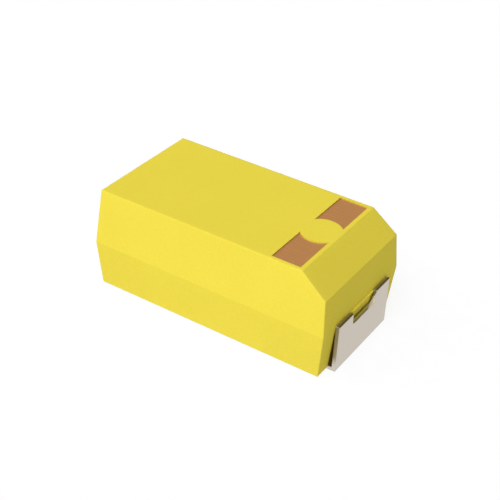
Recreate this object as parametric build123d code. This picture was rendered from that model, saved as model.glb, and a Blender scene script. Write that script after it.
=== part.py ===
from build123d import *
import os
from math import radians, tan

# A moulded chip tantalum capacitor, case size 6032-28, as one rigid assembly.
# Millimetres, +Z up, origin on the board under the middle of the part.
# +X points to the anode end, which has the polarity bevel and the stripe.

# Overall envelope
overall_length = 6.00  # over the outside faces of the two terminals
overall_width = 3.20  # case, at the parting plane
overall_height = 2.46  # board to the top of the case

# Moulded case
standoff = 0.05  # board to the underside of the case
parting_height = 1.15  # board to the parting plane, which is the top of the lead frame
draft_angle = 4.8  # both halves of the mould, all four walls
bevel_height = 0.48  # polarity bevel, down the anode end
bevel_run = 0.595  # polarity bevel, back along the top
case_edge_radius = 0.02
glue_pad_width = 2.40  # raised field under the case for the spot of board adhesive
glue_pad_gap = 0.27  # from the pad to the pocket of each foot
glue_pad_drop = 0.03  # how far the pad stands down from the underside
foot_clearance = 0.03  # round each foot, in its pocket in the underside

# Terminals, folded from the lead frame strip
strip_thickness = 0.09
terminal_width = 2.20
foot_length = 1.30
bend_outer_radius = 0.04  # the strip is pressed tight round the case, so its bends are coined
bend_inner_radius = 0.02

# Cut-out across the upper bend of each terminal, and the resin lug that stands in it
cutout_width = 1.00  # at the parting plane
cutout_floor_height = 0.87  # board to the floor of the cut-out
cutout_slant = 2.0  # how far each side leans out from the vertical
cutout_corner_radius = 0.06
cutout_key_depth = 0.25  # length of the cut-out inside the case, where the resin keys into it
lug_height = 0.12  # down from the parting plane
lug_reach = 0.035  # out from the end of the case
lug_clearance = 0.035  # from each side of the cut-out, at the parting plane
lug_slant = 38.0  # how far each side leans out from the vertical
lug_draft = 16.0  # how far its front leans back on the way down

# Inner ends of the terminals
shoulder_depth = 0.50  # full width of strip anchored in the case
weld_tab_width = 0.90
weld_tab_length = 0.65  # from the anode shoulder to the tip of the tab
paddle_run = 0.70  # from the end of the case to the back of the step down to the paddle
paddle_width = 1.60
paddle_length = 1.60  # from the face of the step to the tip of the paddle
step_inner_radius = 0.05
step_outer_radius = 0.12

# Pellet, its wire and its coats; the pellet fills the length that the two terminals leave it
pellet_width = 2.10
pellet_height = 1.45
pellet_edge_radius = 0.15  # along the four long edges
wire_diameter = 0.24
wire_depth = 1.60  # pressed into the pellet
wire_span = 0.46  # bare, from the anode face of the pellet to the tip of the weld tab
weld_length = 0.45  # of wire on the weld tab
weld_sink = 0.04  # how deep the weld seats the wire in the tab
washer_diameter = 0.70
washer_thickness = 0.12
graphite_thickness = 0.02
graphite_setback = 0.10  # back from the anode face of the pellet
silver_thickness = 0.03
silver_setback = 0.20  # back from the anode face of the pellet
adhesive_thickness = 0.04
adhesive_climb = 0.45  # up the end of the pellet, from its coated underside

# Polarity stripe, laser-darkened in a shallow recess
stripe_width = 0.68
stripe_margin = 0.09  # from the bevel's edge, and from the long edges of the top
stripe_round_radius = 0.475  # plain round left in the middle of the stripe
mark_recess = 0.030  # from the top of the case down to the mark
mark_thickness = 0.020

# Places that follow from the sizes above
case_end = overall_length / 2 - strip_thickness
upper_height = overall_height - parting_height
lower_height = parting_height - standoff
draft_slope = tan(radians(draft_angle))
top_half_width = overall_width / 2 - upper_height * draft_slope
bevel_foot_x = case_end - (upper_height - bevel_height) * draft_slope
bevel_top_x = bevel_foot_x - bevel_run
step_back_x = paddle_run - case_end
step_face_x = step_back_x + strip_thickness
coated_end_x = step_face_x + adhesive_thickness
pellet_end_x = coated_end_x + silver_thickness + graphite_thickness
weld_tip_x = case_end - shoulder_depth - weld_tab_length
anode_face_x = weld_tip_x - wire_span
foot_tip_x = overall_length / 2 - foot_length
pocket_end_x = foot_tip_x - foot_clearance
pad_end_x = pocket_end_x - glue_pad_gap
wire_height = parting_height + wire_diameter / 2 - weld_sink
coated_half_height = pellet_height / 2 + graphite_thickness + silver_thickness
coated_floor = wire_height - coated_half_height
paddle_top = coated_floor - adhesive_thickness


def block(x_min, x_max, width, z_min, z_max):
    """Rectangular block on the part's centre plane, between two places along X and two heights."""
    place = Pos((x_min + x_max) / 2, 0, (z_min + z_max) / 2)
    return place * Box(x_max - x_min, width, z_max - z_min)


def folded_strip(corners, inner_radius, outer_radius, width):
    """Strip of even thickness folded along corner points in the XZ plane, with its own radii in each bend.

    The two sides of the strip are the corner line set off by half a thickness each way.
    Inside a bend the side gets the inner radius, and outside it the outer radius.
    """
    points = [Vector(x, z) for x, z in corners]
    runs = [(end - start).normalized() for start, end in zip(points, points[1:])]
    normals = [run.rotate(Axis.Z, 90) for run in runs]
    left = [points[0] + normals[0] * strip_thickness / 2]
    right = [points[0] - normals[0] * strip_thickness / 2]
    left_radii = [0]
    right_radii = [0]
    for point, before, after in zip(points[1:-1], normals, normals[1:]):
        mitre = (before + after) / (1 + before.dot(after)) * strip_thickness / 2
        left.append(point + mitre)
        right.append(point - mitre)
        turns_left = before.cross(after).Z > 0
        left_radii.append(inner_radius if turns_left else outer_radius)
        right_radii.append(outer_radius if turns_left else inner_radius)
    left.append(points[-1] + normals[-1] * strip_thickness / 2)
    right.append(points[-1] - normals[-1] * strip_thickness / 2)
    left_radii.append(0)
    right_radii.append(0)
    outline = FilletPolyline(
        *left, *reversed(right), radius=left_radii + right_radii[::-1], close=True
    )
    return extrude(Plane.XZ * make_face(outline), amount=width / 2, both=True)


def cutout_prism(x_min, x_max, z_min, z_max, side_clearance, slant, corner_radius):
    """Prism along X, as wide as the terminal's cut-out less a clearance, with sides that lean out."""
    lean = tan(radians(slant))
    half_low = cutout_width / 2 - (parting_height - z_min) * lean - side_clearance
    half_high = cutout_width / 2 - (parting_height - z_max) * lean - side_clearance
    outline = FilletPolyline(
        (-half_high, z_max),
        (-half_low, z_min),
        (half_low, z_min),
        (half_high, z_max),
        radius=[0, corner_radius, corner_radius, 0],
        close=True,
    )
    return extrude(Plane.YZ.offset(x_min) * make_face(outline), amount=x_max - x_min)


def outer_terminal():
    """Foot, end plate and anchored shoulder of the anode terminal, with the cut-out across its upper bend."""
    middle = strip_thickness / 2
    plate_x = overall_length / 2 - middle
    corners = [
        (foot_tip_x, middle),
        (plate_x, middle),
        (plate_x, parting_height - middle),
        (case_end - shoulder_depth, parting_height - middle),
    ]
    strip = folded_strip(corners, bend_inner_radius, bend_outer_radius, terminal_width)
    cutout = cutout_prism(
        case_end - cutout_key_depth,
        overall_length / 2 + strip_thickness,
        cutout_floor_height,
        parting_height + strip_thickness,
        0,
        cutout_slant,
        cutout_corner_radius,
    )
    return strip - cutout


def riser_wire():
    """Tantalum wire from inside the pellet to its weld on the anode terminal."""
    wire_start = anode_face_x - wire_depth
    wire_end = weld_tip_x + weld_length
    section = Plane.YZ.offset(wire_start) * Pos(0, wire_height) * Circle(wire_diameter / 2)
    return extrude(section, amount=wire_end - wire_start)


def anode_terminal():
    """Anode terminal with its weld tab, grooved by the weld where the wire sits."""
    tab = block(
        weld_tip_x,
        case_end - shoulder_depth,
        weld_tab_width,
        parting_height - strip_thickness,
        parting_height,
    )
    return outer_terminal() + tab - riser_wire()


def cathode_terminal():
    """Cathode terminal, whose inner end steps down and runs under the pellet as a paddle."""
    middle = strip_thickness / 2
    corners = [
        (shoulder_depth - case_end, parting_height - middle),
        (step_back_x + middle, parting_height - middle),
        (step_back_x + middle, paddle_top - middle),
        (step_face_x + paddle_length, paddle_top - middle),
    ]
    paddle = folded_strip(corners, step_inner_radius, step_outer_radius, paddle_width)
    return mirror(outer_terminal(), about=Plane.YZ) + paddle


def pellet_form(growth, setback):
    """Pellet grown by a coat's thickness on five sides, ending short of its anode face by a setback."""
    section = RectangleRounded(
        pellet_width + 2 * growth, pellet_height + 2 * growth, pellet_edge_radius + growth
    )
    start = pellet_end_x - growth
    face = Plane.YZ.offset(start) * Pos(0, wire_height) * section
    return extrude(face, amount=anode_face_x - setback - start)


def wire_washer():
    """Ring round the wire, against the anode face of the pellet."""
    section = Circle(washer_diameter / 2) - Circle(wire_diameter / 2)
    face = Plane.YZ.offset(anode_face_x) * Pos(0, wire_height) * section
    return extrude(face, amount=washer_thickness)


def silver_adhesive():
    """Film between the coated pellet and the cathode terminal, under it and up its end."""
    film = block(
        step_face_x,
        step_face_x + paddle_length,
        paddle_width,
        paddle_top,
        coated_floor + adhesive_climb,
    )
    coated = pellet_form(graphite_thickness + silver_thickness, silver_setback)
    return film - coated - cathode_terminal()


def stripe_sketch():
    """Outline of the stripe on the top of the case: a bar beside the bevel, parted by a plain round."""
    bar = Rectangle(stripe_width, 2 * (top_half_width - stripe_margin))
    centre_x = bevel_top_x - stripe_margin - stripe_width / 2
    return Pos(centre_x, 0) * (bar - Circle(stripe_round_radius))


def stripe_layer(z_min, z_max):
    """The stripe's outline carried between two heights."""
    return extrude(Plane.XY.offset(z_min) * stripe_sketch(), amount=z_max - z_min)


def case_form():
    """Outside of the case: two drafted halves and the bevel, with every edge but the parting line rounded."""
    outline = Plane.XY.offset(parting_height) * Rectangle(2 * case_end, overall_width)
    upper = extrude(outline, amount=upper_height, taper=draft_angle)
    lower = extrude(outline, amount=lower_height, dir=(0, 0, -1), taper=draft_angle)
    form = upper + lower
    bevel_plane = Plane(
        origin=(bevel_top_x, 0, overall_height),
        x_dir=(0, 1, 0),
        z_dir=(bevel_height, 0, bevel_run),
    )
    form = split(form, bisect_by=bevel_plane, keep=Keep.BOTTOM)
    parting_edges = form.edges().filter_by_position(Axis.Z, parting_height, parting_height)
    return fillet(form.edges() - parting_edges, case_edge_radius)


def end_lug():
    """Resin lug at the anode end, standing in the cut-out of the terminal, with a drafted front."""
    lug = cutout_prism(
        case_end - cutout_key_depth,
        case_end + lug_reach,
        parting_height - lug_height,
        parting_height,
        lug_clearance,
        lug_slant,
        0,
    )
    front_plane = Plane(
        origin=(case_end + lug_reach, 0, parting_height),
        x_dir=(0, 1, 0),
        z_dir=(1, 0, -tan(radians(lug_draft))),
    )
    return split(lug, bisect_by=front_plane, keep=Keep.BOTTOM)


def foot_pocket():
    """Recess in the underside of the case that takes the anode foot."""
    width = terminal_width + 2 * foot_clearance
    return block(pocket_end_x, overall_length / 2, width, 0, strip_thickness)


def moulded_case():
    """Epoxy case, moulded round the inner pieces, with its pad, lugs, foot pockets and stripe recess."""
    pad = block(
        -pad_end_x,
        pad_end_x,
        glue_pad_width,
        standoff - glue_pad_drop,
        standoff + glue_pad_drop,
    )
    case = case_form() + pad + end_lug() + mirror(end_lug(), about=Plane.YZ)
    case -= foot_pocket() + mirror(foot_pocket(), about=Plane.YZ)
    case -= stripe_layer(overall_height - mark_recess - mark_thickness, overall_height)
    inserts = [
        pellet_form(0, 0),
        pellet_form(graphite_thickness, graphite_setback),
        pellet_form(graphite_thickness + silver_thickness, silver_setback),
        wire_washer(),
        riser_wire(),
        anode_terminal(),
        cathode_terminal(),
        silver_adhesive(),
    ]
    for insert in inserts:
        case -= insert
    return case


def graphite_coat():
    """Carbon coat on five sides of the pellet."""
    return pellet_form(graphite_thickness, graphite_setback) - pellet_form(0, 0)


def silver_coat():
    """Silver paint over the carbon, on the same five sides."""
    painted = pellet_form(graphite_thickness + silver_thickness, silver_setback)
    return painted - pellet_form(graphite_thickness, graphite_setback)


pieces = {
    "moulded_case": moulded_case(),
    "anode_terminal": anode_terminal(),
    "cathode_terminal": cathode_terminal(),
    "tantalum_pellet": pellet_form(0, 0) - riser_wire(),
    "riser_wire": riser_wire(),
    "wire_washer": wire_washer(),
    "graphite_coat": graphite_coat(),
    "silver_coat": silver_coat(),
    "silver_adhesive": silver_adhesive(),
    "polarity_stripe": stripe_layer(
        overall_height - mark_recess - mark_thickness, overall_height - mark_recess
    ),
}

os.makedirs("parts", exist_ok=True)
for name, piece in pieces.items():
    export_step(piece, f"parts/{name}.step")
    print(name, round(piece.volume, 4), "mm3")
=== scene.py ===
# %% [markdown]
# # A moulded chip tantalum capacitor
#
# The real part is a pellet of pressed tantalum powder on a wire. The wire is welded to a strip of
# plated metal, the other side of the pellet is glued to a second strip, and the lot is moulded into
# a small block of golden epoxy. From outside three things show: the block, the two strips folded
# under it for soldering, and a brown mark that a laser burnt into the top.
#
# The CAD model is loaded first, as a frame that is never moved or changed. Every piece made here is
# worked out in the same frame, so it lands in the right place with no fitting by eye.

import bmesh
import bpy
import numpy as np
from mathutils import Matrix, Vector


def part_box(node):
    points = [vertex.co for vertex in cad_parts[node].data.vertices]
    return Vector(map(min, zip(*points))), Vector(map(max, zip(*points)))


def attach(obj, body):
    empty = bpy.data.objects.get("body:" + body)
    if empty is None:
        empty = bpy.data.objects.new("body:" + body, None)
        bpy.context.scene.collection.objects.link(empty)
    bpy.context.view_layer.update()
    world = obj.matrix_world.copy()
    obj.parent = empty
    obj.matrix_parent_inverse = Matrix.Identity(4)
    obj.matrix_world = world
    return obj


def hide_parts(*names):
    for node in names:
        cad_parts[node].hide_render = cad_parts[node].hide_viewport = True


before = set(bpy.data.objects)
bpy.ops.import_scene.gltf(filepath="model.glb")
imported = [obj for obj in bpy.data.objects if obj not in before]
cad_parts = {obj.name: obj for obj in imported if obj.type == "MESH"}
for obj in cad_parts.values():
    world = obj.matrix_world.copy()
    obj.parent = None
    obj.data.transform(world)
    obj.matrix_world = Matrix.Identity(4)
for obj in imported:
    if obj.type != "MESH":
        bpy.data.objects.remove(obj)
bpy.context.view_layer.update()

print("CAD nodes:", sorted(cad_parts))

# %% [markdown]
# ## Sizes
#
# Shapes are worked out in millimetres, the unit such a part is drawn in, and turned to metres once,
# when a mesh is made. The main sizes could be typed in again, but reading them from the CAD nodes
# keeps the looks and the solids alike when a size changes.

# %% Sizes read from the CAD nodes
MM = 0.001


def node_box(node):
    """Lowest and highest corner of a CAD node, in millimetres."""
    low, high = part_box(node)
    return np.array(low) / MM, np.array(high) / MM


case_low, case_high = node_box("moulded_case")
anode_low, anode_high = node_box("anode_terminal")
cathode_low, cathode_high = node_box("cathode_terminal")
mark_low, mark_high = node_box("polarity_stripe")
wire_low, wire_high = node_box("riser_wire")
glue_low, glue_high = node_box("silver_adhesive")

strip_thickness = 0.09
end_x = anode_high[0]  # outside face of the anode's end plate
case_end = end_x - strip_thickness  # end of the case, where the plate lies against it
parting_z = anode_high[2]  # the mould's two halves meet at the top of the strip
case_half_width = case_high[1]
case_top = case_high[2]
print("length", 2 * end_x, "width", 2 * case_half_width, "height", case_top, "mm")

# %% [markdown]
# ## From a net of points to a closed mesh
#
# Each new piece is a net: rows and columns of points, worked out by numpy as whole arrays, with one
# quad for each cell. Where a shape has a sharp ledge, two lines of the net lie on the same place and
# only one of them is pushed in or out, so the cells between them become the ledge's wall. Where
# neither is pushed, their points fall together. Merging doubles then closes such cells and the seams.

# %% Net cells, and the mesh made from them
MERGE_DISTANCE = 2e-5  # mm
SHARP_ANGLE = np.radians(32)


def net_cells(rows, columns, first=0, closed=False):
    """Quads of a net: cell (r, c) joins points (r, c), (r+1, c), (r+1, c+1) and (r, c+1).

    A closed net also joins its last column to its first.
    """
    number = first + np.arange(rows * columns).reshape(rows, columns)
    if closed:
        number = np.column_stack([number, number[:, 0]])
    return np.stack([number[:-1, :-1], number[1:, :-1], number[1:, 1:], number[:-1, 1:]], axis=-1)


def add_piece(name, points, quads, finishes, node, slot):
    """Closed mesh from points in millimetres: doubles merged, faces outwards.

    finishes gives each quad's material slot. The piece stands for a CAD node, which it hides. slot is
    not used.
    """
    mesh = bpy.data.meshes.new(name)
    mesh.from_pydata((points * MM).tolist(), [], quads.tolist())
    mesh.polygons.foreach_set("material_index", np.asarray(finishes, dtype=np.int32))
    net = bmesh.new()
    net.from_mesh(mesh)
    bmesh.ops.remove_doubles(net, verts=net.verts, dist=MERGE_DISTANCE * MM)
    bmesh.ops.recalc_face_normals(net, faces=net.faces)
    open_edges = sum(not edge.is_manifold for edge in net.edges)
    volume = net.calc_volume() / MM**3
    print(name, len(net.faces), "faces,", open_edges, "open edges,", round(volume, 3), "mm3")
    net.to_mesh(mesh)
    net.free()
    mesh.shade_smooth()
    mesh.set_sharp_from_angle(angle=SHARP_ANGLE)
    piece = bpy.data.objects.new(name, mesh)
    bpy.context.scene.collection.objects.link(piece)
    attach(piece, "root")
    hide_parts(node)
    return piece


def weigh_normals(piece):
    """Shades a piece by its large faces, so that flats look flat right up to their rounded edges."""
    modifier = piece.modifiers.new("flats stay flat", "WEIGHTED_NORMAL")
    modifier.keep_sharp = True


# %% [markdown]
# ## The moulded case
#
# The case is cast in a two-part mould. Both halves have draft, so all four walls lean in from the
# parting plane, up and down, and the anode end has a bevel along its top edge to show the polarity.
# Spark-eroded mould edges are never quite sharp, and the small radius is what catches the light.
#
# It could be a box with a Bevel modifier, but draft, bevel and radius then fight each other. Here the
# rounded block is written down directly: take a smaller block whose corners lie one radius inside the
# real faces, and go out from it by the radius along a normal. On a flat the normal stands still, round
# an edge it turns, so each row of the net is a ring of the inner block plus one turn of the normal.

# %% Case: rings of the inner block
edge_radius = 0.02
draft = np.radians(4.8)
bevel_height = 0.48
bevel_run = 0.595
standoff = 0.05  # board to the underside
lug_height = 0.12  # resin lug in the cut-out of each terminal, down from the parting plane
inset = edge_radius / np.cos(draft)
bevel_tilt = np.arctan2(bevel_run, bevel_height)  # how far the bevel's normal points up


def inner_ring(z):
    """Left end, right end, half width and height of the inner block at a height.

    Each is the size at the parting plane, less the draft over the height between, less the inset.
    """
    shrink = abs(z - parting_z) * np.tan(draft) + inset
    return np.array([shrink - case_end, case_end - shrink, case_half_width - shrink, z])


bevel_foot_z = case_top - bevel_height
bevel_foot_x = case_end - (bevel_foot_z - parting_z) * np.tan(draft)
bevel_reach = np.cos(bevel_tilt) * bevel_foot_x + np.sin(bevel_tilt) * bevel_foot_z - edge_radius
top_ring = inner_ring(case_top - edge_radius)
top_ring[1] = (bevel_reach - np.sin(bevel_tilt) * top_ring[3]) / np.cos(bevel_tilt)
end_reach = case_end + parting_z * np.tan(draft) - inset
foot_ring_z = (end_reach - bevel_reach / np.cos(bevel_tilt)) / (np.tan(draft) - np.tan(bevel_tilt))
foot_ring = inner_ring(foot_ring_z)
parting_ring = inner_ring(parting_z)
lug_ring = inner_ring(parting_z - lug_height + edge_radius * np.sin(draft))
bottom_ring = inner_ring(standoff + edge_radius)
print("inner block at the top:", top_ring.round(3), "at the bottom:", bottom_ring.round(3))

# %% Case: the rows, each a ring with a tilt of the normal
round_rows = 7
up = np.radians(90)
turns = [  # ring, tilts of the three plain walls, tilts of the bevelled end, rows, in the lug
    (top_ring, (up, draft), (up, bevel_tilt), round_rows, False),
    (foot_ring, (draft, draft), (bevel_tilt, draft), round_rows, False),
    (parting_ring, (draft, 0), (draft, 0), 2, False),
    (parting_ring, (0, -draft), (0, -draft), 2, True),
    (lug_ring, (-draft, -draft), (-draft, -draft), 1, True),
    (lug_ring, (-draft, -draft), (-draft, -draft), 1, False),
    (bottom_ring, (-draft, -up), (-draft, -up), round_rows, False),
]
rings = np.concatenate([np.tile(ring, (rows, 1)) for ring, plain, bevelled, rows, lug in turns])
plain_tilt = np.concatenate([np.linspace(*plain, rows) for ring, plain, bevelled, rows, lug in turns])
bevelled_tilt = np.concatenate(
    [np.linspace(*bevelled, rows) for ring, plain, bevelled, rows, lug in turns]
)
row_in_lug = np.concatenate([np.full(rows, lug) for ring, plain, bevelled, rows, lug in turns])
ring_left, ring_right, ring_half, ring_z = rings.T
print(len(rings), "rows from the top to the underside")

# %% [markdown]
# The mould leaves more than a block: a shallow recess on top for the mark, a lug of resin in the
# cut-out of each terminal, pockets under the ends for the feet, and a pad in the middle of the
# underside that takes a spot of glue. Booleans would cut these, and leave slivers to clean up. The
# net takes them as ledges: their edges are lines of the net, laid twice.

# %% Case: lines of the net across the top, the walls and the underside
cutout_half_width = 0.50  # of a terminal's cut-out, at the parting plane
lug_half_width = cutout_half_width - 0.035
lug_lean = np.tan(np.radians(38))  # of its sides
lug_draft = np.tan(np.radians(16))  # of its front
mark_round_radius = 0.455  # plain round in the middle of the mark
mark_centre = (mark_low[0] + mark_high[0]) / 2
mark_round_end = np.sqrt(mark_round_radius**2 - (mark_high[0] - mark_centre) ** 2)
pocket_end = anode_low[0] - 0.03
pocket_half_width = anode_high[1] + 0.03
pad_end = pocket_end - 0.27
pad_half_width = 1.20
RANK_STEP = 1e-6


def ledge_lines(edges, plain=()):
    """Places of the net's lines, and their ranks.

    An edge has two lines on one place, one ranked just before it and one just after.
    """
    place = np.concatenate([np.repeat(edges, 2), plain])
    rank = place + np.concatenate([np.tile([-RANK_STEP, RANK_STEP], len(edges)), np.zeros(len(plain))])
    order = np.argsort(rank)
    return place[order], rank[order]


def mark_round(x):
    """Half width of the plain round at a place along the mark: half the chord of a circle."""
    offset = np.clip(x, mark_low[0], mark_high[0]) - mark_centre
    return np.sqrt(mark_round_radius**2 - offset**2)


half_edges = np.array([mark_high[1], pad_half_width, pocket_half_width, lug_half_width, mark_round_end])
length_edges = np.array([-pocket_end, -pad_end, pad_end, pocket_end, mark_low[0], mark_high[0]])
mark_lines = np.linspace(mark_low[0], mark_high[0], 27)  # enough of them to draw the round
x_lines, x_rank = ledge_lines(length_edges, mark_lines[1:-1])
y_lines, y_rank = ledge_lines(np.concatenate([-half_edges, half_edges]))
x_rank = np.concatenate([[-np.inf], x_rank, [np.inf]])
y_rank = np.concatenate([[-np.inf], y_rank, [np.inf]])
row_x = np.column_stack([ring_left, np.tile(x_lines, (len(rings), 1)), ring_right])
row_y = np.column_stack([-ring_half, np.tile(y_lines, (len(rings), 1)), ring_half])
print(row_x.shape[1], "lines along the case,", row_y.shape[1], "across it")

# %% Case: the four walls and their rounded corners
pocket_ceiling = strip_thickness
pocket_mouth = case_end - (parting_z - pocket_ceiling) * np.tan(draft)
corner_points = 5


def long_wall(side):
    """Front (-1) or back (1) wall.

    y is the ring's half width plus radius * cos tilt, z the ring's height plus radius * sin tilt.
    """
    y = np.broadcast_to((side * (ring_half + edge_radius * np.cos(plain_tilt)))[:, None], row_x.shape)
    z = np.broadcast_to((ring_z + edge_radius * np.sin(plain_tilt))[:, None], row_x.shape)
    return np.stack([row_x, y, z], axis=-1)


def end_wall(side, ring_x, tilt):
    """Left (-1) or right (1) end, worked out as the long walls are.

    Lines in the lug move out to its front, which leans in going down. Lines in the pocket stop at
    its ceiling.
    """
    x = np.broadcast_to((ring_x + side * edge_radius * np.cos(tilt))[:, None], row_y.shape)
    z = np.broadcast_to((ring_z + edge_radius * np.sin(tilt))[:, None], row_y.shape)
    lug_line = row_in_lug[:, None] & np.isclose(abs(row_y), lug_half_width)
    lug_side = np.sign(row_y) * (lug_half_width - (parting_z - z) * lug_lean)
    y = np.where(lug_line, lug_side, row_y)
    in_lug = row_in_lug[:, None] & (abs(y_rank) < lug_half_width)
    x = np.where(in_lug, side * (case_high[0] - (parting_z - z) * lug_draft), x)
    in_pocket = (abs(y_rank) < pocket_half_width) & (z < pocket_ceiling)
    x = np.where(in_pocket, side * pocket_mouth, x)
    z = np.where(in_pocket, pocket_ceiling, z)
    return np.stack([x, y, z], axis=-1)


def corner(end, side, ring_x, tilt):
    """Rounded corner: inner corner plus radius times a normal.

    The normal turns from the long wall's to the end wall's.
    """
    turn = np.linspace(0, 1, corner_points + 2)[1:-1, None]
    zero = np.zeros_like(tilt)
    long_normal = np.stack([zero, side * np.cos(plain_tilt), np.sin(plain_tilt)], axis=-1)
    end_normal = np.stack([end * np.cos(tilt), zero, np.sin(tilt)], axis=-1)
    normal = (1 - turn) * long_normal[:, None, :] + turn * end_normal[:, None, :]
    normal /= np.linalg.norm(normal, axis=-1, keepdims=True)
    inner = np.stack([ring_x, side * ring_half, ring_z], axis=-1)
    return inner[:, None, :] + edge_radius * normal


walls = np.concatenate(
    [
        long_wall(-1),
        corner(1, -1, ring_right, bevelled_tilt),
        end_wall(1, ring_right, bevelled_tilt),
        corner(1, 1, ring_right, bevelled_tilt)[:, ::-1],
        long_wall(1)[:, ::-1],
        corner(-1, 1, ring_left, plain_tilt),
        end_wall(-1, ring_left, plain_tilt)[:, ::-1],
        corner(-1, -1, ring_left, plain_tilt)[:, ::-1],
    ],
    axis=1,
)
print("walls:", walls.shape[0], "rows of", walls.shape[1], "points")

# %% Case: the top with its recess, and the underside with its pad and pockets
top_x, top_y = np.meshgrid(row_x[0], row_y[0], indexing="ij")
on_round = np.isclose(abs(top_y), mark_round_end)
top_y = np.where(on_round, np.sign(top_y) * mark_round(top_x), top_y)
along_mark = (x_rank > mark_low[0]) & (x_rank < mark_high[0])
across_mark = (abs(y_rank) > mark_round_end) & (abs(y_rank) < mark_high[1])
top_z = np.where(along_mark[:, None] & across_mark, mark_low[2], case_top)

under_x, under_y = np.meshgrid(row_x[-1], row_y[-1], indexing="ij")
on_pad = (abs(x_rank) < pad_end)[:, None] & (abs(y_rank) < pad_half_width)
in_pocket = (abs(x_rank) > pocket_end)[:, None] & (abs(y_rank) < pocket_half_width)
under_z = np.select([on_pad, in_pocket], [case_low[2], pocket_ceiling], standoff)
at_mouth = in_pocket & np.isinf(x_rank)[:, None]
under_x = np.where(at_mouth, np.sign(under_x) * pocket_mouth, under_x)

top = np.stack([top_x, top_y, top_z], axis=-1)
underside = np.stack([under_x, under_y, under_z], axis=-1)
sheets = [walls, top, underside]
starts = np.cumsum([0] + [sheet.shape[0] * sheet.shape[1] for sheet in sheets])
case_points = np.concatenate([sheet.reshape(-1, 3) for sheet in sheets])
case_quads = np.concatenate(
    [
        net_cells(*walls.shape[:2], closed=True).reshape(-1, 4),
        net_cells(*top.shape[:2], first=starts[1]).reshape(-1, 4),
        net_cells(*underside.shape[:2], first=starts[2]).reshape(-1, 4),
    ]
)
case = add_piece(
    "epoxy_case", case_points, case_quads, np.zeros(len(case_quads)), "moulded_case", "moulded_epoxy"
)
weigh_normals(case)

# %% [markdown]
# ## The terminals
#
# Both terminals are punched from one strip of thin plated metal. After moulding the strip is folded
# down the end of the case and in under it, so each shows as a foot, an end plate and a narrow shoulder
# that goes into the resin. A cut-out across the upper bend lets it fold cleanly and keys the resin.
#
# An extruded outline would give the folds but not the cut-out. Here the strip is two matching nets,
# one for each face, that follow the same path of points. At a corner of the path each face turns on
# its own radius, and where the path runs straight that radius is nought. Cells of the cut-out are left
# out of both nets, and every border between kept and left-out cells gets a wall: the punched edge.

# %% Terminals: a folded path with two faces
bend_stations = 8


def folded_faces(path, inner_radius, outer_radius):
    """Stations (x, z) along the left and the right face of a strip folded along a path.

    A face's corner is the path's corner moved half a thickness along the mitre. Its arc starts one
    radius before that corner and ends one radius after: centre - r * after * cos a + r * before * sin a.
    """
    run = np.diff(path, axis=0)
    run /= np.linalg.norm(run, axis=1, keepdims=True)
    before = np.vstack([run[:1], run])
    after = np.vstack([run, run[-1:]])
    turn = before[:, 0] * after[:, 1] - before[:, 1] * after[:, 0]
    left = (before + after)[:, ::-1] * [-1, 1]
    mitre = left / (1 + (before * after).sum(axis=1, keepdims=True)) * strip_thickness / 2
    angle = np.linspace(0, np.pi / 2, bend_stations)[:, None]
    arc = before[:, None] * np.sin(angle) - after[:, None] * np.cos(angle)
    faces = []
    for side in (1, -1):
        radius = np.select([turn * side > 0.5, turn * side < -0.5], [inner_radius, outer_radius], 0)
        centre = path + side * mitre + radius[:, None] * (after - before)
        faces.append((centre[:, None] + radius[:, None, None] * arc).reshape(-1, 2))
    return faces


def slab(outer, inner, kept):
    """Closed slab between two matching nets: its points, its quads, and which of these are walls.

    Kept cells lie on both nets, and a wall joins the nets wherever a kept cell meets a left-out one.
    """
    number = np.arange(outer.shape[0] * outer.shape[1]).reshape(outer.shape[:2])
    below = number + number.size
    cells = net_cells(*outer.shape[:2])[kept]
    framed = np.pad(kept, 1)
    s, c = np.nonzero(framed[:-1, 1:-1] != framed[1:, 1:-1])
    across = np.stack([number[s, c], number[s, c + 1], below[s, c + 1], below[s, c]], axis=-1)
    s, c = np.nonzero(framed[1:-1, :-1] != framed[1:-1, 1:])
    along = np.stack([number[s, c], number[s + 1, c], below[s + 1, c], below[s, c]], axis=-1)
    points = np.concatenate([outer.reshape(-1, 3), inner.reshape(-1, 3)])
    quads = np.concatenate([cells, cells + number.size, across, along])
    punched = np.arange(len(quads)) >= 2 * len(cells)
    return points, quads, punched


# %% Terminals: the cut-out, and the path from the foot to the shoulder
cutout_floor = 0.87  # height above the board
cutout_corner = 0.06
cutout_lean = np.tan(np.radians(2))
cutout_key = 0.25  # how far the cut-out runs on inside the case
shoulder = 0.50
bend_radii = (0.02, 0.02)  # inside and outside of the bends at the end plate
half_thickness = strip_thickness / 2
lean_angle = np.arctan(cutout_lean)
corner_z = cutout_floor + cutout_corner
tangent_z = corner_z - cutout_corner * np.sin(lean_angle)
tangent_y = cutout_half_width - (parting_z - tangent_z) * cutout_lean
corner_y = tangent_y - cutout_corner * np.cos(lean_angle)


def cutout_half(z):
    """Half width of the cut-out at a height: a leaning side, rounded into the floor by a circle."""
    depth = corner_z - np.clip(z, cutout_floor, corner_z)
    rounded = corner_y + np.sqrt(np.maximum(cutout_corner**2 - depth**2, 0))
    straight = cutout_half_width - (parting_z - z) * cutout_lean
    return np.where(z < tangent_z, rounded, straight)


corner_z_stops = corner_z - cutout_corner * np.cos(np.linspace(0, up - lean_angle, 7))
plate_x = end_x - half_thickness
shoulder_z = parting_z - half_thickness
outer_path = np.vstack(
    [
        (anode_low[0], half_thickness),
        (plate_x, half_thickness),
        np.column_stack([np.full(len(corner_z_stops), plate_x), corner_z_stops]),
        (plate_x, shoulder_z),
        (case_end - cutout_key, shoulder_z),
        (case_end - shoulder, shoulder_z),
    ]
)
floor_stop = 2
key_stop = len(outer_path) - 2
shoulder_stop = len(outer_path) - 1
print("path to the shoulder:", len(outer_path), "points, cut-out from", floor_stop, "to", key_stop)

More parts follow.
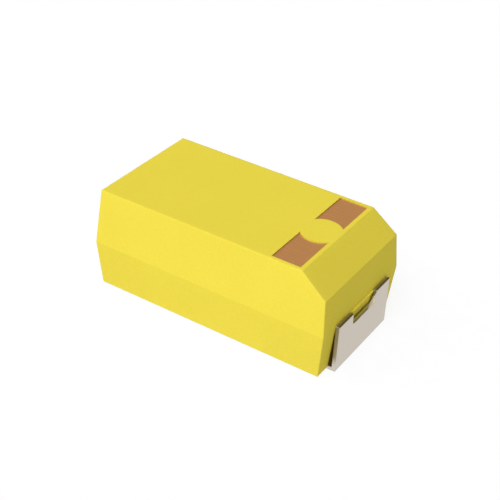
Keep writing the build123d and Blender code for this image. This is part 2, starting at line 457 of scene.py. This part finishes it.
# %% Terminals: nets of the two strips
wire_radius = (wire_high[2] - wire_low[2]) / 2
wire_z = (wire_high[2] + wire_low[2]) / 2
groove_half_angle = np.arccos((wire_z - parting_z) / wire_radius)
groove_lines = wire_radius * np.sin(np.linspace(-groove_half_angle, groove_half_angle, 9))


def strip_net(face, inner_half_width):
    """Net of one face of a strip, from its stations (x, z).

    Each station has lines at the strip's edges, at the edges of the cut-out or the inner tab, and in
    the groove.
    """
    x, z = face.T
    stop = np.arange(len(face)) // bend_stations
    middle = np.where(stop < shoulder_stop, cutout_half(z), inner_half_width)
    edge = np.full(len(face), anode_high[1])
    groove = np.tile(groove_lines, (len(face), 1))
    y = np.column_stack([-edge, -middle, groove, middle, edge])
    x, z = [np.broadcast_to(value[:, None], y.shape) for value in (x, z)]
    return np.stack([x, y, z], axis=-1)


def kept_cells(net):
    """Cells of the strip that the punch leaves: not the cut-out, and beside the inner tab nothing."""
    stop = np.arange(net.shape[0] - 1) // bend_stations
    line = np.arange(net.shape[1] - 1)
    outermost = (line == 0) | (line == line[-1])
    in_cutout = ((stop >= floor_stop) & (stop < key_stop))[:, None] & ~outermost
    beside_tab = (stop >= shoulder_stop)[:, None] & outermost
    return ~in_cutout & ~beside_tab


def radii(path, first, second):
    """Inner and outer radius at each point of a path: the end plate's bends, then the inner end's."""
    is_first = np.arange(len(path)) <= shoulder_stop
    return np.where(is_first, first[0], second[0]), np.where(is_first, first[1], second[1])


# %% Anode terminal: its inner end is a tab with a groove where the wire is welded on
weld_tab_half_width = 0.45
weld_tip = case_end - shoulder - 0.65
wire_stop = len(outer_path)
anode_path = np.vstack([outer_path, [(wire_high[0], shoulder_z), (weld_tip, shoulder_z)]])
anode_faces = folded_faces(anode_path, *radii(anode_path, bend_radii, bend_radii))
inner_net, outer_net = [strip_net(face, weld_tab_half_width) for face in anode_faces]
in_groove = (np.arange(len(outer_net)) > wire_stop * bend_stations)[:, None]
in_groove = in_groove & (abs(outer_net[..., 1]) < groove_lines[-1] + RANK_STEP)
groove_drop = np.sqrt(np.maximum(wire_radius**2 - outer_net[..., 1] ** 2, 0))
outer_net[..., 2] = np.where(in_groove, wire_z - groove_drop, outer_net[..., 2])
anode = add_piece(
    "anode_strip", *slab(outer_net, inner_net, kept_cells(outer_net)), "anode_terminal", "tin_plate"
)

# %% Cathode terminal: its inner end steps down to a paddle under the pellet; worked out mirrored
paddle_half_width = glue_high[1]
paddle_z = glue_low[2] - half_thickness
step_x = -glue_low[0] + half_thickness
step_radii = (0.05, 0.12)
cathode_path = np.vstack(
    [outer_path, [(step_x, shoulder_z), (step_x, paddle_z), (-cathode_high[0], paddle_z)]]
)
cathode_faces = folded_faces(cathode_path, *radii(cathode_path, bend_radii, step_radii))
inner_net, outer_net = [strip_net(face, paddle_half_width) * [-1, 1, 1] for face in cathode_faces]
cathode = add_piece(
    "cathode_strip", *slab(outer_net, inner_net, kept_cells(outer_net)), "cathode_terminal", "tin_plate"
)

# %% Terminals: the punch leaves edges that are very slightly rolled
rolled_edge = 0.008
for strip in (anode, cathode):
    roll = strip.modifiers.new("rolled edges", "BEVEL")
    roll.width = rolled_edge * MM
    roll.segments = 2
    roll.limit_method = "ANGLE"
    roll.angle_limit = np.radians(50)
    weigh_normals(strip)
    print(strip.name, "edges rolled by", rolled_edge, "mm")

# %% [markdown]
# ## The polarity mark
#
# A laser sweeps a bar across the top at the anode end and skips a round in the middle. It takes off a
# little resin and leaves the skin brown, so the mark lies a hair below the top. The mark is a slab of
# two nets with four lines, and the cells between the middle two, the plain round, are left out.

# %% Mark: two halves of a bar round the plain middle
mark_edge = np.full(len(mark_lines), mark_high[1])
mark_half = mark_round(mark_lines)
mark_y = np.column_stack([-mark_edge, -mark_half, mark_half, mark_edge])
mark_x = np.broadcast_to(mark_lines[:, None], mark_y.shape)
mark_sides = [
    np.stack([mark_x, mark_y, np.full(mark_y.shape, z)], axis=-1) for z in (mark_high[2], mark_low[2])
]
mark_kept = np.tile([True, False, True], (len(mark_lines) - 1, 1))
mark_points, mark_quads = slab(*mark_sides, mark_kept)[:2]
mark = add_piece(
    "laser_mark", mark_points, mark_quads, np.zeros(len(mark_quads)), "polarity_stripe", "laser_mark"
)

# %% [markdown]
# ## Finishes
#
# A finish is a small tree of nodes round one shader. Colours are written as the sRGB hex values a
# painter would read off, and turned to the linear light that the shader works in. Image textures could
# carry the detail, but they need unwrapped pieces and files to go with them. Patterns on Object
# coordinates need neither: they stay on the piece from any side, and their scale is a size in mm.

# %% Colour, scale, the one function that adds a node, and where a finish starts and ends


def linear(colour):
    """Linear RGBA of an sRGB hex colour: c / 12.92 near black, ((c + 0.055) / 1.055) ** 2.4 above."""
    srgb = np.array([int(colour[at : at + 2], 16) for at in (1, 3, 5)]) / 255
    light = np.where(srgb <= 0.04045, srgb / 12.92, ((srgb + 0.055) / 1.055) ** 2.4)
    return (*light.tolist(), 1.0)


def per_metre(size):
    """Texture scale that repeats a pattern every so many millimetres."""
    return 1 / (size * MM)


def add_node(tree, kind, sockets, **settings):
    """One shader node: settings are its properties, sockets its values, or outputs to link to them."""
    made = tree.nodes.new("ShaderNode" + kind)
    for name, value in settings.items():
        setattr(made, name, value)
    for name, value in sockets.items():
        if isinstance(value, bpy.types.NodeSocket):
            tree.links.new(value, made.inputs[name])
        else:
            made.inputs[name].default_value = value
    return made


def new_finish(name):
    """Empty material: its tree, and the Object coordinates that its patterns read."""
    finish = bpy.data.materials.new(name)
    finish.use_nodes = True
    finish.node_tree.nodes.clear()
    place = add_node(finish.node_tree, "TexCoord", {}).outputs["Object"]
    return finish, finish.node_tree, place


def from_middle(tree, place):
    """Outputs along, across and height: how far a place lies from the middle, as absolute values."""
    distance = add_node(tree, "VectorMath", {0: place}, operation="ABSOLUTE")
    return add_node(tree, "SeparateXYZ", {0: distance.outputs["Vector"]}).outputs


def place_mask(tree, limits):
    """Mask by place: a product of ramps. Each goes from 0 to 1 between two values in mm of an output."""
    mask = 1.0
    for value, none_at, full_at in limits:
        ramp = add_node(
            tree,
            "MapRange",
            {"Value": value, "From Min": none_at * MM, "From Max": full_at * MM},
            interpolation_type="SMOOTHSTEP",
        )
        product = add_node(tree, "Math", {0: mask, 1: ramp.outputs["Result"]}, operation="MULTIPLY")
        mask = product.outputs["Value"]
    return mask


def put_on(finish, *pieces):
    """Gives pieces one more finish, in the next free slot."""
    for piece in pieces:
        piece.data.materials.append(finish)
    wearers = ", ".join(piece.name for piece in pieces)
    print(finish.name, "-", len(finish.node_tree.nodes), "nodes, on", wearers)


# %% [markdown]
# ### Golden epoxy
#
# The case is epoxy filled with fine silica and pressed into a spark-eroded mould. One flat yellow would
# do from far off. Close up the real skin is never quite even, so two noises share the work: a slow one
# for the way the resin flowed, and a fine one for the filler, which also sets roughness and pits. In
# the narrow gap behind each end plate the resin is painted dark, a painted shade for the deep shadow
# there, and a little painted shade lies at one end of the cut-out too. Vertex paint could show it, but a
# mask by place follows the sizes when they change.

# %% Finish: golden epoxy, silica-filled, moulded in a spark-eroded tool
# Filler and eroded steel give the eye an even matte skin: full colour, no gloss, a breath of mottling.
# The silica is drawn at the size of its coarsest grains, because the rest would not show.
flow_size = 0.9  # mm
filler_size = 0.05
epoxy, tree, place = new_finish("golden epoxy, moulded")
flow = add_node(tree, "TexNoise", {"Vector": place, "Scale": per_metre(flow_size), "Detail": 3.0})
grain = add_node(tree, "TexNoise", {"Vector": place, "Scale": per_metre(filler_size), "Detail": 2.0})
tone = add_node(
    tree,
    "Mix",
    {0: flow.outputs["Fac"], 6: linear("#E6D347"), 7: linear("#EAD74B")},
    data_type="RGBA",
)
speck = add_node(
    tree,
    "Mix",
    {0: grain.outputs["Fac"], 6: linear("#F4F4F4"), 7: linear("#FFFFFF")},
    data_type="RGBA",
)
colour = add_node(
    tree,
    "Mix",
    {0: 1.0, 6: tone.outputs[2], 7: speck.outputs[2]},
    data_type="RGBA",
    blend_type="MULTIPLY",
)
print("resin flow", flow_size, "mm, filler", filler_size, "mm")

# %% Golden epoxy: painted shade behind the end plates, clear in the cut-out and away from the ends
gap_mouth = case_end - 0.002  # the draft opens the gap from here inwards
under_case = case_end - 0.20  # here the painted shade has faded out
lug_shade_share = 0.55
along, across, height = from_middle(tree, place)
# Painted shade: the resin in the narrow gap behind each end plate is painted dark, where deep shadow
# falls.
painted_gap_shade = place_mask(
    tree,
    [
        (along, gap_mouth, gap_mouth - 0.02),
        (along, under_case, under_case + 0.05),
        (across, anode_high[1] + 0.015, anode_high[1] - 0.005),
        (across, cutout_half_width + 0.05, cutout_half_width + 0.10),
        (height, parting_z, parting_z - 0.03),
    ],
)
one_side = add_node(tree, "SeparateXYZ", {0: place}).outputs["Y"]
# Painted shade: a darker patch at one end of the lug, in the corner beside the cut-out's wall.
painted_lug_shade = place_mask(
    tree,
    [
        (along, gap_mouth, gap_mouth - 0.01),
        (along, under_case, under_case + 0.05),
        (one_side, cutout_half_width - 0.13, cutout_half_width - 0.06),
        (one_side, cutout_half_width + 0.10, cutout_half_width + 0.05),
        (height, parting_z, parting_z - 0.03),
    ],
)
painted_shade = add_node(tree, "Math", {0: painted_lug_shade, 1: lug_shade_share, 2: painted_gap_shade}, operation="MULTIPLY_ADD")
# The dark brown mixed in here is painted shade, not a colour of the resin.
shaded_resin = add_node(
    tree,
    "Mix",
    {0: painted_shade.outputs["Value"], 6: colour.outputs[2], 7: linear("#77601C")},
    data_type="RGBA",
)
print("stained below the parting plane, from", round(gap_mouth, 3), "mm inwards")

# %% Golden epoxy: its shader
rough = add_node(tree, "MapRange", {"Value": grain.outputs["Fac"], "To Min": 0.5, "To Max": 0.64})
pits = add_node(
    tree, "Bump", {"Height": grain.outputs["Fac"], "Strength": 0.12, "Distance": 0.004 * MM}
)
shader = add_node(
    tree,
    "BsdfPrincipled",
    {
        "Base Color": shaded_resin.outputs[2],
        "Roughness": rough.outputs["Result"],
        "Normal": pits.outputs["Normal"],
        "IOR": 1.55,
        "Specular IOR Level": 0.01,
    },
)
add_node(tree, "OutputMaterial", {"Surface": shader.outputs["BSDF"]})
put_on(epoxy, case)

# %% [markdown]
# ### Matte tin
#
# The strip is rolled metal with matte tin plated on it, so that solder wets it. A polished metal shader
# would mirror the room. Tin crystals scatter the light, so the roughness is higher and wanders with the
# crystals, and a bump stretched along the strip keeps the faint lines of the rolling mill. The top of
# the upper fold is painted darker, as painted shade and a painted dark reflection: again a mask by
# place.

# %% Finish: matte tin, plated on rolled strip
# Fine crystals give the eye a soft, even, slightly warm grey. Real ones are a few thousandths of a
# millimetre across and the mill's lines as far apart, so both are drawn about ten times coarser to show.
rolling_size = 0.03
crystal_size = 0.06
tin, tree, place = new_finish("matte tin, plated on rolled strip")
stretch = add_node(tree, "Mapping", {"Vector": place, "Scale": (0.04, 1.0, 0.04)})
rolling = add_node(
    tree,
    "TexNoise",
    {"Vector": stretch.outputs["Vector"], "Scale": per_metre(rolling_size), "Detail": 2.0},
)
crystal = add_node(tree, "TexNoise", {"Vector": place, "Scale": per_metre(crystal_size), "Detail": 3.0})
plate = add_node(
    tree,
    "Mix",
    {0: crystal.outputs["Fac"], 6: linear("#C7BEB1"), 7: linear("#CDC4B7")},
    data_type="RGBA",
)
rough = add_node(tree, "MapRange", {"Value": crystal.outputs["Fac"], "To Min": 0.36, "To Max": 0.42})
lines = add_node(
    tree, "Bump", {"Height": rolling.outputs["Fac"], "Strength": 0.08, "Distance": 0.002 * MM}
)
print("rolling lines", rolling_size, "mm, crystals", crystal_size, "mm")

# %% Matte tin: painted shade on the top of the fold, and the shader
along, _, height = from_middle(tree, place)
# Painted shade: the top of the upper fold is painted darker, standing in for shade and a dark reflection
# there.
painted_fold_shade = place_mask(
    tree, [(along, end_x - 0.09, end_x - 0.02), (height, parting_z - 0.018, parting_z - 0.004)]
)
colour = add_node(
    tree,
    "Mix",
    {0: painted_fold_shade, 6: plate.outputs[2], 7: linear("#8F867A")},
    data_type="RGBA",
)
shader = add_node(
    tree,
    "BsdfPrincipled",
    {
        "Base Color": colour.outputs[2],
        "Metallic": 1.0,
        "Roughness": rough.outputs["Result"],
        "Normal": lines.outputs["Normal"],
    },
)
add_node(tree, "OutputMaterial", {"Surface": shader.outputs["BSDF"]})
put_on(tin, anode, cathode)

# %% [markdown]
# ### Punched edges
#
# The strip is plated before it is punched, so its edges are bare metal. They could wear the tin as well,
# but then they would not stand out from the flats as the real ones do. Near the board they are painted
# brighter, a painted reflection of the pale floor, and the inner half of the cut-out's floor is painted
# pale, painted light under the lug's shade. At one end of the cut-out a pale, rough, less metallic patch
# below a slanting plane is a painted pool of light, edged like a cast shadow. Masks by place lay all
# three on.

# %% Finish: strip metal, sheared by the punch
# Sheared metal is smooth enough to mirror what stands next to it: the yellow case higher up, the pale
# floor lower down. Scuffs of a few thousandths of a millimetre are drawn coarser, to show at all.
scuff_size = 0.025
punched_edge, tree, place = new_finish("strip metal, sheared by the punch")
scuff = add_node(tree, "TexNoise", {"Vector": place, "Scale": per_metre(scuff_size), "Detail": 3.0})
sheared = add_node(
    tree,
    "Mix",
    {0: scuff.outputs["Fac"], 6: linear("#A79F90"), 7: linear("#B3AB9C")},
    data_type="RGBA",
)
smooth = add_node(tree, "MapRange", {"Value": scuff.outputs["Fac"], "To Min": 0.36, "To Max": 0.44})
furrows = add_node(
    tree, "Bump", {"Height": scuff.outputs["Fac"], "Strength": 0.2, "Distance": 0.002 * MM}
)
print("scuffs", scuff_size, "mm")

# %% Punched edges: where painted light lies on them, the lit patch in front of a slanting plane
reflection_none = 0.42  # heights above the board
reflection_full = 0.16
lit_patch_top = 1.10  # height of the slanting plane at the cut-out's end, on the outside
lit_patch_rise = 2.07  # of the plane for each millimetre outwards
lit_patch_tilt = 0.69  # and for each millimetre across
lit_patch_level = lit_patch_top - lit_patch_rise * end_x - lit_patch_tilt * cutout_half_width
along, across, height = from_middle(tree, place)
one_side = add_node(tree, "SeparateXYZ", {0: place}).outputs["Y"]
slanted = height
for value, slope in [(along, lit_patch_rise), (one_side, lit_patch_tilt)]:
    shifted = add_node(tree, "Math", {0: value, 1: -slope, 2: slanted}, operation="MULTIPLY_ADD")
    slanted = shifted.outputs["Value"]
# Painted reflection: near the board the edges are painted brighter, as if mirroring the pale floor.
painted_floor_reflection = place_mask(tree, [(height, reflection_none, reflection_full)])
# Painted light: the inner half of the cut-out's floor is painted pale, lifting the shade under the lug.
painted_fill_light = place_mask(
    tree,
    [
        (along, end_x - 0.01, end_x - 0.06),
        (across, cutout_half_width + 0.05, cutout_half_width),
        (height, cutout_floor + 0.06, cutout_floor + 0.02),
        (height, cutout_floor - 0.04, cutout_floor - 0.01),
    ],
)
# Painted light: a pale, rough, less metallic patch below a slanting plane, a painted pool of light whose
# edge follows a cast shadow's edge.
painted_lit_patch = place_mask(
    tree,
    [
        (slanted, lit_patch_level + 0.03, lit_patch_level - 0.03),
        (one_side, cutout_half_width + 0.09, cutout_half_width + 0.04),
        (height, cutout_floor - 0.04, cutout_floor - 0.01),
    ],
)
print("dipped below", reflection_none, "mm, torn below", lit_patch_top, "mm at one end of the cut-out")

# %% Punched edges: their colours, one over the other, and the shader
bright = add_node(
    tree,
    "Mix",
    {0: painted_floor_reflection, 6: sheared.outputs[2], 7: linear("#D0C8BF")},
    data_type="RGBA",
)
painted_fill_mix = add_node(
    tree,
    "Mix",
    {0: painted_fill_light, 6: bright.outputs[2], 7: linear("#DDDBDA")},
    data_type="RGBA",
)
colour = add_node(
    tree,
    "Mix",
    {0: painted_lit_patch, 6: painted_fill_mix.outputs[2], 7: linear("#DCD2BC")},
    data_type="RGBA",
)
metal = add_node(tree, "MapRange", {"Value": painted_lit_patch, "To Min": 1.0, "To Max": 0.2})
rough = add_node(tree, "Math", {0: smooth.outputs["Result"], 1: painted_lit_patch}, operation="MAXIMUM")
shader = add_node(
    tree,
    "BsdfPrincipled",
    {
        "Base Color": colour.outputs[2],
        "Metallic": metal.outputs["Result"],
        "Roughness": rough.outputs["Value"],
        "Normal": furrows.outputs["Normal"],
    },
)
add_node(tree, "OutputMaterial", {"Surface": shader.outputs["BSDF"]})
put_on(punched_edge, anode, cathode)

# %% [markdown]
# ### The burnt mark
#
# A laser beam sweeps to and fro across the case and chars the skin of the epoxy line by line. The mark
# could be a brown patch in the epoxy's own tree, but it lies lower than the top, so it is a piece of
# its own. Soot makes it cloudy, and a wave across the sweeps leaves their faint ridges.

# %% Finish: epoxy, burnt brown by laser
# Char gives the eye a dead matte brown, a little cloudy. Real sweeps lie about 0.05 mm apart, too fine
# for the picture, so they are drawn 0.12 mm apart.
sweep_spacing = 0.12
soot_size = 0.12
sweep_share = 0.25  # of the cloudiness, the rest is soot
wave_period = 2 * np.pi / 20  # the Wave texture's period at scale 1
burnt, tree, place = new_finish("epoxy, burnt brown by laser")
sweep = add_node(
    tree,
    "TexWave",
    {
        "Vector": place,
        "Scale": wave_period * per_metre(sweep_spacing),
        "Distortion": 1.0,
        "Detail": 1.0,
    },
    bands_direction="Y",
)
soot = add_node(tree, "TexNoise", {"Vector": place, "Scale": per_metre(soot_size), "Detail": 4.0})
cloud = add_node(
    tree,
    "Mix",
    {0: sweep_share, 2: soot.outputs["Fac"], 3: sweep.outputs["Fac"]},
)
char = add_node(
    tree,
    "Mix",
    {0: cloud.outputs[0], 6: linear("#AC7846"), 7: linear("#B98351")},
    data_type="RGBA",
)
rough = add_node(tree, "MapRange", {"Value": cloud.outputs[0], "To Min": 0.68, "To Max": 0.82})
ridges = add_node(
    tree, "Bump", {"Height": cloud.outputs[0], "Strength": 0.15, "Distance": 0.003 * MM}
)
shader = add_node(
    tree,
    "BsdfPrincipled",
    {
        "Base Color": char.outputs[2],
        "Roughness": rough.outputs["Result"],
        "Normal": ridges.outputs["Normal"],
        "IOR": 1.55,
        "Specular IOR Level": 0.2,
    },
)
add_node(tree, "OutputMaterial", {"Surface": shader.outputs["BSDF"]})
put_on(burnt, mark)

# %% [markdown]
# ### What the resin hides
#
# Six CAD nodes stay as they are, inside the case: the pellet and its wire, the washer that stops the
# dip from climbing the wire, the two coats, and the adhesive on the paddle. Their shapes are right, so
# they need no new mesh, but someone who takes the case away should see what each is made of. All six
# are plain stuff with a grain, so one tree serves them, with other colours, roughness and grain in each.

# %% Finishes of the pieces inside
# A row: finish, then dark and light colour, metallic, IOR, roughness, grain in mm, grain's stretch.
# Powder, flake and drawing lines are finer than 0.03 mm, so they are drawn that coarse or coarser.
grained = {
    # Pressed powder, black with manganese dioxide: dull and crumbly to the eye.
    "tantalum_pellet": (
        "tantalum powder, pressed and sintered",
        ("#2C2C30", "#3C3C40", 0.6, 1.5, (0.65, 0.85), 0.05, (1, 1, 1)),
    ),
    # Wire drawn through a die: a satin grey with fine lines along it.
    "riser_wire": (
        "tantalum wire, drawn",
        ("#77777C", "#8C8C92", 1.0, 1.5, (0.25, 0.40), 0.03, (0.05, 1, 1)),
    ),
    # Sheet punched to a ring: a waxy white, faintly cloudy.
    "wire_washer": (
        "fluoropolymer sheet, punched",
        ("#E4E4DE", "#F0F0EC", 0.0, 1.35, (0.35, 0.45), 0.15, (1, 1, 1)),
    ),
    # Carbon dipped and dried: a flat black with a grey bloom.
    "graphite_coat": (
        "graphite, dipped and dried",
        ("#111112", "#1E1E20", 0.0, 1.5, (0.60, 0.80), 0.04, (1, 1, 1)),
    ),
    # Silver flake in a binder: a pale dull grey with a slight glitter.
    "silver_coat": (
        "silver paint, dipped",
        ("#B2B2B4", "#C8C8CA", 0.8, 1.5, (0.42, 0.60), 0.04, (1, 1, 1)),
    ),
    # Adhesive full of silver flake: a pasty mid grey.
    "silver_adhesive": (
        "silver-filled adhesive, cured",
        ("#8A8A8C", "#9C9C9E", 0.4, 1.5, (0.50, 0.70), 0.06, (1, 1, 1)),
    ),
}
for node, (name, row) in grained.items():
    dark, light, metallic, ior, (low, high), size, along_grain = row
    finish, tree, place = new_finish(name)
    drawn = add_node(tree, "Mapping", {"Vector": place, "Scale": along_grain})
    grain = add_node(
        tree,
        "TexNoise",
        {"Vector": drawn.outputs["Vector"], "Scale": per_metre(size), "Detail": 3.0},
    )
    colour = add_node(
        tree,
        "Mix",
        {0: grain.outputs["Fac"], 6: linear(dark), 7: linear(light)},
        data_type="RGBA",
    )
    rough = add_node(tree, "MapRange", {"Value": grain.outputs["Fac"], "To Min": low, "To Max": high})
    relief = add_node(
        tree, "Bump", {"Height": grain.outputs["Fac"], "Strength": 0.3, "Distance": 0.1 * size * MM}
    )
    shader = add_node(
        tree,
        "BsdfPrincipled",
        {
            "Base Color": colour.outputs[2],
            "Metallic": metallic,
            "Roughness": rough.outputs["Result"],
            "Normal": relief.outputs["Normal"],
            "IOR": ior,
        },
    )
    add_node(tree, "OutputMaterial", {"Surface": shader.outputs["BSDF"]})
    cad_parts[node].material_slots[0].material = finish
    print(name, "-", len(tree.nodes), "nodes, on", node)

# %% [markdown]
# ## Floor and backdrop
#
# The part lies on a sheet of white card that glows as white as the light on it, so shadows hardly show
# and light comes up under the part, as on a light table. Low views look over the far edge of the card,
# so a ring of the same card stands right round, well away. A bright world would fill that space too,
# but its light would wash out the shading of the walls. The ring is seen by the camera alone.

# %% Floor and backdrop: a square net and a ring net
floor_half = 2000.0  # mm
ring_radius = 300.0
ring_height = 120.0
ring_points = 64
ring_angle = np.linspace(0, 2 * np.pi, ring_points, endpoint=False)
ring_line = np.stack([np.cos(ring_angle), np.sin(ring_angle), 0 * ring_angle], axis=-1)
stage_nets = {
    "floor": floor_half * np.array([[(-1, -1, 0), (1, -1, 0)], [(-1, 1, 0), (1, 1, 0)]]),
    "backdrop": ring_radius * ring_line + ring_height * np.array([[(0, 0, 0)], [(0, 0, 1)]]),
}
stage = {}
for name, net in stage_nets.items():
    mesh = bpy.data.meshes.new(name)
    cells = net_cells(*net.shape[:2], closed=name == "backdrop").reshape(-1, 4)
    mesh.from_pydata((net.reshape(-1, 3) * MM).tolist(), [], cells.tolist())
    stage[name] = bpy.data.objects.new(name, mesh)
    bpy.context.scene.collection.objects.link(stage[name])
    print(name, len(cells), "faces")
stage["backdrop"].visible_diffuse = False
stage["backdrop"].visible_glossy = False
stage["backdrop"].visible_transmission = False
stage["backdrop"].visible_shadow = False

# %% Finish: white card, matte
# Card gives the eye nothing but white. Its fibres, drawn as flocks, are the faintest of mottling.
flock_size = 0.4
for name, bounce, glow in [("floor", 0.1, 0.97), ("backdrop", 0.0, 1.07)]:
    card, tree, place = new_finish("white card, matte, " + name)
    fibre = add_node(tree, "TexNoise", {"Vector": place, "Scale": per_metre(flock_size), "Detail": 2.0})
    colour = add_node(
        tree,
        "Mix",
        {0: fibre.outputs["Fac"], 6: linear("#F5F5F5"), 7: linear("#F8F8F8")},
        data_type="RGBA",
    )
    shader = add_node(
        tree,
        "BsdfPrincipled",
        {
            "Base Color": (bounce, bounce, bounce, 1.0),
            "Roughness": 1.0,
            "Specular IOR Level": 0.0,
            "Emission Color": colour.outputs[2],
            "Emission Strength": glow,
        },
    )
    add_node(tree, "OutputMaterial", {"Surface": shader.outputs["BSDF"]})
    put_on(card, stage[name])

# %% [markdown]
# ## Light
#
# Two broad soft lamps do the work of a small studio: the strong one in front and a little to the right,
# the weak one from the left. Area lamps would do, but at this size their distance matters to a
# millimetre. Sun lamps with a wide angle are as soft and have no distance. The standard view transform
# shows each colour as it is lit, so that the hex values above can be checked against the picture.

# %% Light: a dim world and two soft lamps
scene = bpy.context.scene
scene.view_settings.view_transform = "Standard"
world = bpy.data.worlds.new("studio")
scene.world = world
world.use_nodes = True
background = world.node_tree.nodes["Background"]
background.inputs["Color"].default_value = (1, 1, 1, 1)
background.inputs["Strength"].default_value = 0.06
soft_lamps = [  # name, direction towards it, strength, spread in degrees
    ("right lamp", (0.07, -0.50, 0.73), 2.79, 40),
    ("left lamp", (-0.205, -0.136, 0.244), 1.09, 40),
]
for name, direction, strength, spread in soft_lamps:
    light = bpy.data.lights.new(name, "SUN")
    light.energy = strength
    light.angle = np.radians(spread)
    lamp = bpy.data.objects.new(name, light)
    lamp.rotation_mode = "QUATERNION"
    lamp.rotation_quaternion = Vector(direction).to_track_quat("Z", "Y")
    scene.collection.objects.link(lamp)
    print(name, "strength", strength, "spread", spread)

# %% [markdown]
# ## Camera
#
# The camera stands where the straight edges of the part fall on the same lines as in the picture being
# matched. Placing it by eye gets near. Three angles, a distance and a point to aim at, solved from those
# edges, get within half a pixel. It is turned by a matrix of its own right, up and back directions.

# %% Camera
azimuth = np.radians(31.50)
elevation = np.radians(33.895)
roll = np.radians(3.11)
camera_distance = 25.53  # mm
aim = np.array([-0.2215, 0.5406, 0.8583])
outwards = np.array([np.sin(azimuth), -np.cos(azimuth), 0])
level = np.array([np.cos(azimuth), np.sin(azimuth), 0])
back = np.cos(elevation) * outwards + np.sin(elevation) * np.array([0, 0, 1])
upright = np.cross(back, level)
lens = bpy.data.cameras.new("camera")
lens.lens = 81.54
lens.sensor_width = 36
lens.clip_start = 1 * MM
lens.clip_end = 10
camera = bpy.data.objects.new("camera", lens)
scene.collection.objects.link(camera)
pose = np.eye(4)
pose[:3, 0] = np.cos(roll) * level + np.sin(roll) * upright
pose[:3, 1] = np.cos(roll) * upright - np.sin(roll) * level
pose[:3, 2] = back
pose[:3, 3] = (aim + camera_distance * back) * MM
camera.matrix_world = Matrix(pose.tolist())
scene.camera = camera
print("camera at", (pose[:3, 3] / MM).round(2), "mm")
